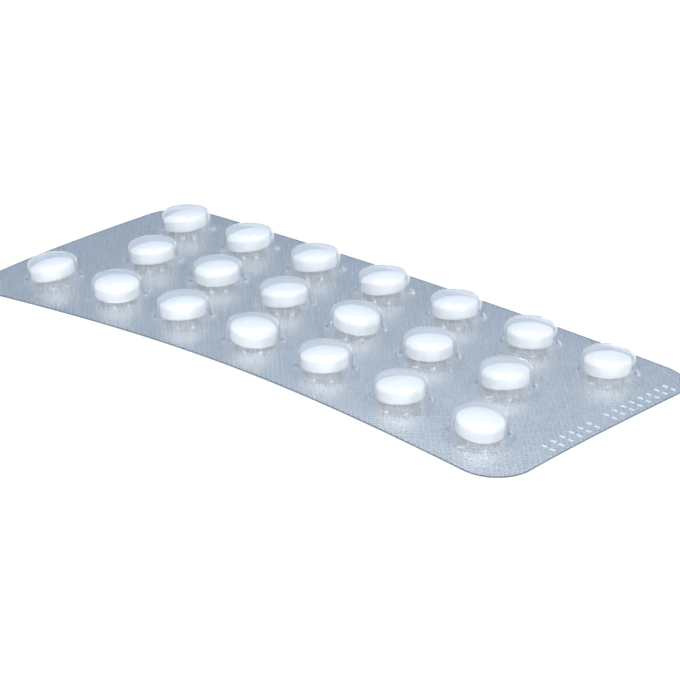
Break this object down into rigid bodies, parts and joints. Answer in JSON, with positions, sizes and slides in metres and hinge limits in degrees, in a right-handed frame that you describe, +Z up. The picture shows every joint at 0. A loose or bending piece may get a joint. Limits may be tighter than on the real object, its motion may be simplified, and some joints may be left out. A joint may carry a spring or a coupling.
{
  "type": "tablet blister pack",
  "caption": "Slightly bowed blister card with staggered rows of domed pockets in clear film, a round biconvex tablet in each, sealed by aluminium foil.",
  "frame": {"origin": "bottom centre of the bounding box: the level surface that three of the card's corners stand on", "axes": "+X along the rows of tablets, towards the end with the code field; +Y across the rows, towards the less arched long edge; +Z up, from the foil to the pockets"},
  "size_m": [0.124, 0.0537, 0.0077],
  "materials": {
    "clear_film": "clear PVC film, thermoformed, glossy",
    "lidding_foil": "heat-sealed aluminium foil, finely knurled",
    "tablet": "white pressed tablet, smooth and slightly matt"
  },
  "bodies": {
    "root": {"blister_film": "clear_film", "lidding_foil": "lidding_foil", "tablet_01": "tablet", "tablet_02": "tablet", "tablet_03": "tablet", "tablet_04": "tablet", "tablet_05": "tablet", "tablet_06": "tablet", "tablet_07": "tablet", "tablet_08": "tablet", "tablet_09": "tablet", "tablet_10": "tablet", "tablet_11": "tablet", "tablet_12": "tablet", "tablet_13": "tablet", "tablet_14": "tablet", "tablet_15": "tablet", "tablet_16": "tablet", "tablet_17": "tablet", "tablet_18": "tablet", "tablet_19": "tablet", "tablet_20": "tablet"}
  },
  "joints": []
}
